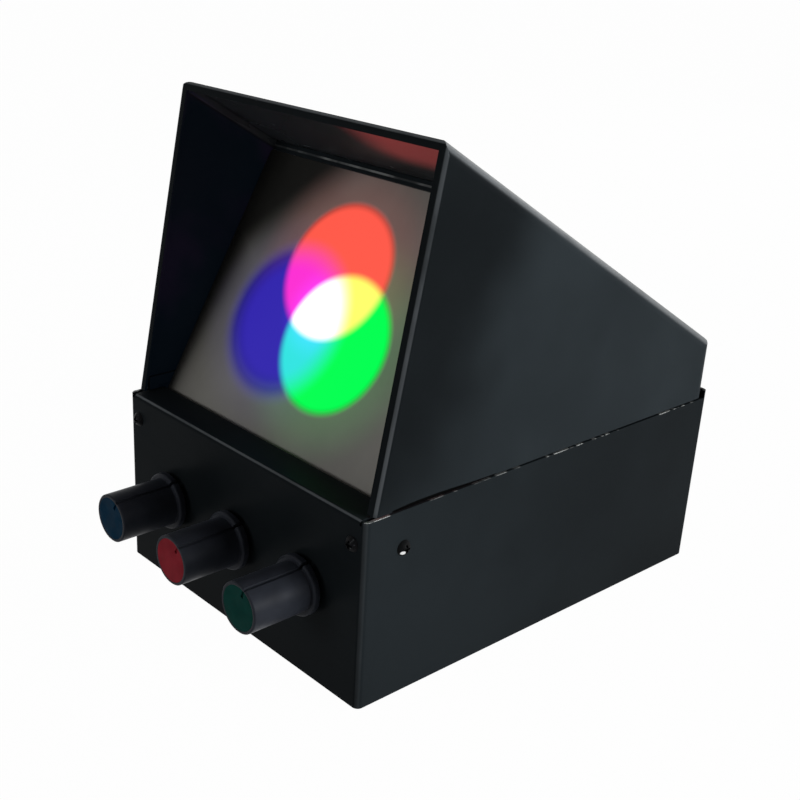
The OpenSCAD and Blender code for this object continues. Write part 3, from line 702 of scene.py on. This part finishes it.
def hood_wear(finish):
    """A few chips in the coat along the top of the lip."""
    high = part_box("hood_shell")[1]
    chips = finish.ramp(finish.noise(3.5 * MM, detail=3, roughness=0.7), 0.69, 0.74)
    near_top = finish.ramp(finish.axis("Z"), high.z - 4 * MM, high.z - 1.5 * MM)
    at_front = finish.ramp(behind_front(finish, "hood_shell"), 23 * MM, 21 * MM)
    return finish.product(chips, near_top, at_front)


class COLOURMIX_OT_coat_shells(bpy.types.Operator):
    """Powder coat the base, the hood, the bottom plate and the screen's rails"""

    bl_idname = "colourmix.coat_shells"
    bl_label = "Coat the shells"

    def execute(self, context):
        settings = context.scene.colour_mixer.finish
        dress(coated_steel(settings, "base_coat", base_wear, base_painted_shade), "base_shell")
        dress(coated_steel(settings, "hood_coat", hood_wear, hood_painted_light, hood_spill), "hood_shell")
        # The rail's light line is a painted highlight
        dress(coated_steel(settings, "rail_coat", rail_highlight, wear_and_highlight_shine=0.0), "screen_top_rail")
        dress(coated_steel(settings, "inner_coat"), "bottom_plate", "screen_bottom_rail")
        return {"FINISHED"}


# Screen


def right_of(finish, lean, foot):
    """Distance of the surface point to the right of a line that meets the table at foot and leans right."""
    line = finish.calc("MULTIPLY_ADD", finish.axis("Z"), lean, foot)
    return finish.product(finish.calc("SUBTRACT", finish.axis("X"), line), 1 / math.hypot(1, lean))


def shaded_corner(finish):
    """Near zero along the sheet's left edge and in its upper left corner, and one elsewhere."""
    from_edge = right_of(finish, 0.14, -63 * MM)
    from_corner = right_of(finish, 1.05, -164 * MM)
    blur = 8 * MM
    return finish.ramp(finish.calc("MINIMUM", from_edge, from_corner), -blur, blur, 0.08, 1.0)


def disc_masks(finish, discs, distances):
    """Each lamp's disc, which is one inside its radius and fades to zero at its edge."""
    radii = {"red": discs.radius, "green": discs.radius, "blue": discs.blue_radius}
    fades = {"red": discs.softness, "green": discs.softness, "blue": discs.blue_softness}
    masks = {}
    for colour in LAMPS:
        inner = radii[colour] - fades[colour] / 2
        outer = radii[colour] + fades[colour] / 2
        masks[colour] = finish.ramp(distances[colour], inner, outer, 1, 0)
    return masks


def disc_light(finish, discs, distances, masks, bare, core):
    """The light of the three discs and of the glow round them, brightest where all three meet."""
    levels = {}
    for colour in LAMPS:
        glow = finish.ramp(distances[colour], discs.radius, discs.glow_radius, discs.glow, 0)
        levels[colour] = finish.calc("MULTIPLY_ADD", glow, bare, masks[colour])
    blue_level = finish.product(levels["blue"], finish.calc("MULTIPLY_ADD", core, discs.core_gain, 1.0))
    light = finish.grow(tuple(discs.blue), blue_level)
    for colour in ("red", "green"):
        own = tuple(getattr(discs, colour))
        over_blue = tuple(getattr(discs, colour + "_over_blue"))
        shown = finish.mix(levels["blue"], own, over_blue)
        light = finish.vector("ADD", light, finish.grow(shown, levels[colour]))
    meeting = finish.product(*masks.values(), discs.core_gain)
    return finish.vector("ADD", light, finish.grow((1, 1, 1), meeting))


def lit_screen(settings, discs):
    """A frosted sheet with a painted glow for each lamp's soft disc, in line with the lamp's own axis.

    Under the discs the sheet turns black and then metallic, so that only their own light shows there.
    """
    finish = Finish("lit_screen_sheet")
    lens_middles = {colour: middle(colour + "_lens") for colour in LAMPS}
    beam = (middle("red_lens") - middle("red_lamp_board")).normalized()
    distances = {colour: axis_distance(finish, lens_middles[colour], beam) for colour in LAMPS}
    masks = disc_masks(finish, discs, distances)
    cover = 0.0
    for mask in masks.values():
        cover = finish.calc("MAXIMUM", cover, mask)
    bare = finish.calc("SUBTRACT", 1.0, cover)
    common = sum(lens_middles.values(), Vector()) / len(LAMPS)
    core = finish.ramp(axis_distance(finish, common, beam), discs.core_radius / 4, discs.core_radius, 1, 0)
    frost = finish.noise(0.6 * MM, detail=2)
    sheet = finish.grow(finish.tint(tuple(settings.screen_sheet), 0.06, 20 * MM), shaded_corner(finish))
    finish.set(
        Base_Color=finish.mix(finish.ramp(cover, 0.0, 0.6), sheet, (0, 0, 0)),
        Metallic=finish.ramp(cover, 0.6, 0.9),
        Roughness=finish.ramp(frost, NOISE_LOW, NOISE_HIGH, 0.3, 0.38),
        Specular_IOR_Level=0.2,
        Emission_Color=disc_light(finish, discs, distances, masks, bare, core),
        Emission_Strength=1.0,
    )
    finish.relief([(frost, 10 * MICRON)])
    return finish.material


class COLOURMIX_OT_light_screen(bpy.types.Operator):
    """Frost the screen and paint the glowing red, green and blue discs on it"""

    bl_idname = "colourmix.light_screen"
    bl_label = "Light the screen"

    def execute(self, context):
        mixer = context.scene.colour_mixer
        dress(lit_screen(mixer.finish, mixer.discs), "screen")
        return {"FINISHED"}


# Knobs


def knob_plastic(settings, colour):
    """Black moulded plastic with a fine satin grain, duller and smoother in patches from handling."""
    finish = Finish(colour + "_knob_plastic")
    grain = finish.noise(0.3 * MM, detail=2)
    handling = finish.noise(6 * MM, detail=3)
    finish.set(
        Base_Color=finish.tint(tuple(settings.knob), 0.15, 8 * MM),
        Roughness=finish.ramp(handling, NOISE_LOW, NOISE_HIGH, 0.34, 0.46),
        Specular_IOR_Level=0.04,
    )
    finish.relief([(grain, 8 * MICRON)], settings.edge_round)
    return finish.material


def cap_plastic(settings, colour):
    """Coloured plastic with faint turning marks."""
    finish = Finish(colour + "_cap_plastic")
    radius = axis_distance(finish, middle(colour + "_cap"), (0, 1, 0))
    turning = finish.calc("SINE", finish.product(radius, 2 * math.pi / TURNING_PITCH))
    rub = finish.noise(4 * MM, detail=4)
    finish.set(
        Base_Color=finish.tint(tuple(getattr(settings, colour + "_cap")), 0.12, 5 * MM),
        Roughness=finish.ramp(rub, NOISE_LOW, NOISE_HIGH, 0.38, 0.55),
        Specular_IOR_Level=0.012,
    )
    finish.relief([(turning, 3 * MICRON), (rub, 20 * MICRON)], settings.edge_round)
    return finish.material


class COLOURMIX_OT_finish_knobs(bpy.types.Operator):
    """Give the knobs their black plastic and their coloured caps"""

    bl_idname = "colourmix.finish_knobs"
    bl_label = "Finish the knobs"

    def execute(self, context):
        settings = context.scene.colour_mixer.finish
        for colour in KNOBS:
            dress(knob_plastic(settings, colour), colour + "_knob")
            dress(cap_plastic(settings, colour), colour + "_cap")
        return {"FINISHED"}


# Small hardware


def turned_metal(name, colour, roughness, line_width=0.3 * MM):
    """Plated or bare metal with fine machining lines."""
    finish = Finish(name)
    lines = finish.noise(line_width, detail=2, stretch=(1, 0.15, 1))
    stains = finish.noise(4 * MM, detail=3)
    smoothest, dullest = roughness - 0.06, roughness + 0.08
    finish.set(
        Base_Color=finish.tint(colour, 0.1, 3 * MM),
        Metallic=1.0,
        Roughness=finish.ramp(stains, NOISE_LOW, NOISE_HIGH, smoothest, dullest),
    )
    finish.relief([(lines, 6 * MICRON)], FINE_EDGE)
    return finish.material


def moulded(name, colour, roughness, grain=0.3 * MM):
    """Plain moulded plastic or rubber with a fine grain."""
    finish = Finish(name)
    stains = finish.noise(3 * MM)
    smoothest, dullest = roughness - 0.06, roughness + 0.06
    finish.set(
        Base_Color=finish.tint(colour, 0.12, 4 * MM),
        Roughness=finish.ramp(stains, NOISE_LOW, NOISE_HIGH, smoothest, dullest),
    )
    finish.relief([(finish.noise(grain), 10 * MICRON)], FINE_EDGE)
    return finish.material


def screw_steel(name, colour, rub_and_glint_colour, roughness, metallic=0.0, glint_spot=None):
    """Blackened or plated steel, brighter in small rubs, or else in one painted glint on the side screws."""
    finish = Finish(name)
    if glint_spot is None:
        rubs_and_glint = finish.ramp(finish.noise(0.7 * MM, detail=3, roughness=0.7), 0.58, 0.7)
    else:
        rubs_and_glint = finish.ramp(axis_distance(finish, glint_spot, (1, 0, 0)), 0.8 * MM, 0.55 * MM)
    finish.set(
        Base_Color=finish.mix(rubs_and_glint, colour, rub_and_glint_colour),
        Metallic=finish.ramp(rubs_and_glint, 0, 1, metallic, 1.0),
        Roughness=finish.ramp(rubs_and_glint, 0, 1, roughness, 0.3),
        Specular_IOR_Level=0.04,
    )
    finish.relief([(finish.noise(0.2 * MM), 10 * MICRON)], 0.15 * MM)
    return finish.material


class COLOURMIX_OT_finish_controls(bpy.types.Operator):
    """Finish the controls, their shafts, washers and nuts"""

    bl_idname = "colourmix.finish_controls"
    bl_label = "Finish the controls"

    def execute(self, context):
        dress(turned_metal("control_case", shade(150, 152, 154), 0.38), *[c + "_control" for c in KNOBS])
        dress(turned_metal("shaft_steel", shade(185, 185, 184), 0.3), *[c + "_shaft" for c in KNOBS])
        dress(turned_metal("nut_zinc", shade(190, 191, 188), 0.34), "control_washers", "control_nuts")
        return {"FINISHED"}


class COLOURMIX_OT_finish_lamps(bpy.types.Operator):
    """Finish the lamp tubes, lenses, boards, emitters, heat sinks and their bracket"""

    bl_idname = "colourmix.finish_lamps"
    bl_label = "Finish the lamps"

    def execute(self, context):
        discs = context.scene.colour_mixer.discs
        tube = turned_metal("black_tube", shade(38, 38, 40), 0.42)
        sink = turned_metal("black_sink", shade(42, 42, 44), 0.5)
        board = moulded("white_lamp_board", shade(215, 214, 208), 0.35)
        for colour in LAMPS:
            dress(tube, colour + "_lamp_tube", colour + "_lens_ring")
            dress(sink, colour + "_heat_sink")
            dress(board, colour + "_lamp_board")
            dress(self.lens_glass(colour), colour + "_lens")
            dress(self.emitter_dome(colour, tuple(getattr(discs, colour))), colour + "_emitter")
        dress(turned_metal("bracket_aluminium", shade(176, 178, 180), 0.4, 0.6 * MM), "lamp_bracket")
        return {"FINISHED"}

    @staticmethod
    def lens_glass(colour):
        """Clear glass, with a trace of dust."""
        finish = Finish(colour + "_lens_glass")
        dust_and_painted_shade = finish.noise(0.8 * MM, detail=3)
        finish.set(
            Base_Color=(0.95, 0.97, 1.0),
            Roughness=finish.ramp(dust_and_painted_shade, 0.5, 0.8, 0.03, 0.15),
            Transmission_Weight=1.0,
            IOR=1.5,
        )
        return finish.material

    @staticmethod
    def emitter_dome(colour, light):
        """The lit dome of a lamp's emitter."""
        finish = Finish(colour + "_emitter_dome")
        hot = finish.noise(2 * MM)
        finish.set(
            Base_Color=light,
            Roughness=0.2,
            Emission_Color=finish.grow(light, finish.ramp(hot, 0.2, 0.8, 0.7, 1.3)),
            Emission_Strength=1.5,
        )
        return finish.material


class COLOURMIX_OT_finish_driver(bpy.types.Operator):
    """Finish the driver board and the parts on it"""

    bl_idname = "colourmix.finish_driver"
    bl_label = "Finish the driver board"

    def execute(self, context):
        dress(moulded("green_board_resin", shade(24, 92, 52), 0.3, 1.0 * MM), "driver_board")
        dress(moulded("black_part_resin", shade(34, 34, 36), 0.45), "driver_transistors", "driver_chip")
        dress(moulded("capacitor_sleeve", shade(38, 44, 98), 0.3), "driver_capacitors")
        dress(moulded("terminal_green", shade(52, 132, 84), 0.4), "terminal_blocks")
        dress(turned_metal("spacer_zinc", shade(188, 189, 186), 0.35), "board_spacers")
        return {"FINISHED"}


class COLOURMIX_OT_finish_rear(bpy.types.Operator):
    """Finish the power switch and the power inlet"""

    bl_idname = "colourmix.finish_rear"
    bl_label = "Finish the rear fittings"

    def execute(self, context):
        dress(moulded("switch_frame", shade(30, 30, 32), 0.4), "switch_body", "power_inlet")
        dress(moulded("rocker_plastic", shade(36, 36, 38), 0.25), "switch_rocker")
        dress(turned_metal("inlet_nut_zinc", shade(188, 189, 186), 0.35), "inlet_nut")
        return {"FINISHED"}


class COLOURMIX_OT_finish_fasteners(bpy.types.Operator):
    """Finish the screws and the rubber feet"""

    bl_idname = "colourmix.finish_fasteners"
    bl_label = "Finish the fasteners"

    def execute(self, context):
        black = screw_steel("black_screw_steel", shade(10, 11, 13), shade(48, 50, 52), 0.4)
        dress(black, "front_screws", "rear_screws", "bottom_screws")
        # The side screws' bright spot is a painted glint
        glint_spot = middle("side_screws") + GLINT_SPOT
        wear_and_highlight = screw_steel("worn_screw_steel", shade(14, 15, 16), shade(235, 236, 236), 0.5, glint_spot=glint_spot)
        dress(wear_and_highlight, "side_screws")
        zinc = screw_steel(
            "zinc_screw_steel", shade(180, 181, 178), shade(205, 206, 204), 0.35, metallic=1.0
        )
        dress(zinc, "bracket_screws", "board_screws")
        dress(moulded("foot_rubber", shade(30, 30, 30), 0.8, 0.5 * MM), "rubber_feet")
        return {"FINISHED"}


# Stage


def add_light(name, power, size, place):
    """A soft rectangular light that faces the object."""
    light = bpy.data.lights.new(name, "AREA")
    light.energy = power
    light.shape = "RECTANGLE"
    light.size, light.size_y = size
    lamp = bpy.data.objects.new(name, light)
    lamp.location = place
    lamp.rotation_mode = "QUATERNION"
    lamp.rotation_quaternion = (Vector(LIGHT_TARGET) - Vector(place)).to_track_quat("-Z", "Y")
    bpy.context.scene.collection.objects.link(lamp)


def add_camera(stage):
    """A camera at the stage's place, turned to its azimuth and elevation and then about its own axis."""
    azimuth, elevation, roll = stage.azimuth, stage.elevation, stage.roll
    back = Vector((
        math.sin(azimuth) * math.cos(elevation),
        -math.cos(azimuth) * math.cos(elevation),
        math.sin(elevation),
    ))
    level = Vector((0, 0, 1)).cross(back).normalized()
    upright = back.cross(level)
    right = level * math.cos(roll) + upright * math.sin(roll)
    up = upright * math.cos(roll) - level * math.sin(roll)
    data = bpy.data.cameras.new("camera")
    data.lens = stage.lens
    data.sensor_width = SENSOR_WIDTH
    data.shift_x, data.shift_y = PICTURE_SHIFT
    data.clip_start = 0.01
    data.clip_end = 50
    camera = bpy.data.objects.new("camera", data)
    shell_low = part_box("base_shell")[0]
    corner = Vector((0, shell_low.y, shell_low.z))
    turned = Matrix((right, up, back)).transposed().to_4x4()
    camera.matrix_world = Matrix.Translation(corner + Vector(stage.place)) @ turned
    bpy.context.scene.collection.objects.link(camera)
    bpy.context.scene.camera = camera


def white_for_eyes(tree):
    """One where a ray comes from the camera, a gloss or a glass, and zero elsewhere."""
    path = tree.nodes.new("ShaderNodeLightPath")
    total = path.outputs["Is Camera Ray"]
    for name in ("Is Glossy Ray", "Is Transmission Ray"):
        either = tree.nodes.new("ShaderNodeMath")
        either.operation = "MAXIMUM"
        tree.links.new(total, either.inputs[0])
        tree.links.new(path.outputs[name], either.inputs[1])
        total = either.outputs[0]
    return total


def add_floor(stage):
    """A floor that looks white to the camera and lights the object as a pale table does."""
    bpy.ops.mesh.primitive_plane_add(size=30)
    floor = bpy.context.object
    floor.name = "floor"
    material = bpy.data.materials.new("pale_floor")
    material.use_nodes = True
    tree = material.node_tree
    tree.nodes.clear()
    output = tree.nodes.new("ShaderNodeOutputMaterial")
    blend = tree.nodes.new("ShaderNodeMixShader")
    plain = tree.nodes.new("ShaderNodeBsdfDiffuse")
    plain.inputs["Color"].default_value = FLOOR_COLOUR
    white = tree.nodes.new("ShaderNodeEmission")
    share = tree.nodes.new("ShaderNodeMath")
    share.operation = "MULTIPLY"
    share.inputs[1].default_value = stage.floor_glow
    tree.links.new(white_for_eyes(tree), share.inputs[0])
    tree.links.new(share.outputs[0], blend.inputs["Fac"])
    tree.links.new(plain.outputs[0], blend.inputs[1])
    tree.links.new(white.outputs[0], blend.inputs[2])
    tree.links.new(blend.outputs[0], output.inputs["Surface"])
    floor.data.materials.append(material)


def set_world(stage):
    """Even light all round, seen as white."""
    world = bpy.data.worlds.new("studio")
    world.use_nodes = True
    tree = world.node_tree
    tree.nodes.clear()
    output = tree.nodes.new("ShaderNodeOutputWorld")
    sky = tree.nodes.new("ShaderNodeBackground")
    sky.inputs["Color"].default_value = (1, 1, 1, 1)
    level = tree.nodes.new("ShaderNodeMapRange")
    level.inputs["To Min"].default_value = stage.surroundings
    level.inputs["To Max"].default_value = 1.0
    tree.links.new(white_for_eyes(tree), level.inputs["Value"])
    tree.links.new(level.outputs["Result"], sky.inputs["Strength"])
    tree.links.new(sky.outputs[0], output.inputs["Surface"])
    bpy.context.scene.world = world


class COLOURMIX_OT_set_stage(bpy.types.Operator):
    """Make the camera, the lights, the floor and the surroundings"""

    bl_idname = "colourmix.set_stage"
    bl_label = "Set the stage"

    def execute(self, context):
        stage = context.scene.colour_mixer.stage
        context.scene.view_settings.view_transform = "Standard"
        for name, (size, place) in LIGHTS.items():
            add_light(name + "_light", getattr(stage, name), size, place)
        add_floor(stage)
        set_world(stage)
        add_camera(stage)
        return {"FINISHED"}


# Panel and registration


STEPS = (
    COLOURMIX_OT_coat_shells,
    COLOURMIX_OT_light_screen,
    COLOURMIX_OT_finish_knobs,
    COLOURMIX_OT_finish_controls,
    COLOURMIX_OT_finish_lamps,
    COLOURMIX_OT_finish_driver,
    COLOURMIX_OT_finish_rear,
    COLOURMIX_OT_finish_fasteners,
    COLOURMIX_OT_set_stage,
)


class COLOURMIX_PT_steps(bpy.types.Panel):
    """Lists the settings and the steps that dress the apparatus"""

    bl_idname = "COLOURMIX_PT_steps"
    bl_label = "Colour Mixing Apparatus"
    bl_space_type = "VIEW_3D"
    bl_region_type = "UI"
    bl_category = "Colour Mixing"

    def draw(self, context):
        mixer = context.scene.colour_mixer
        for group in (mixer.finish, mixer.discs, mixer.stage):
            column = self.layout.column()
            for name in group.__annotations__:
                column.prop(group, name)
        for step in STEPS:
            self.layout.operator(step.bl_idname)


CLASSES = (FinishSettings, DiscSettings, StageSettings, MixerSettings, *STEPS, COLOURMIX_PT_steps)


def register():
    for cls in CLASSES:
        bpy.utils.register_class(cls)
    bpy.types.Scene.colour_mixer = PointerProperty(type=MixerSettings)


def unregister():
    del bpy.types.Scene.colour_mixer
    for cls in reversed(CLASSES):
        bpy.utils.unregister_class(cls)


def main():
    register()
    bpy.ops.colourmix.coat_shells()
    bpy.ops.colourmix.light_screen()
    bpy.ops.colourmix.finish_knobs()
    bpy.ops.colourmix.finish_controls()
    bpy.ops.colourmix.finish_lamps()
    bpy.ops.colourmix.finish_driver()
    bpy.ops.colourmix.finish_rear()
    bpy.ops.colourmix.finish_fasteners()
    bpy.ops.colourmix.set_stage()


if __name__ == "__main__":
    main()
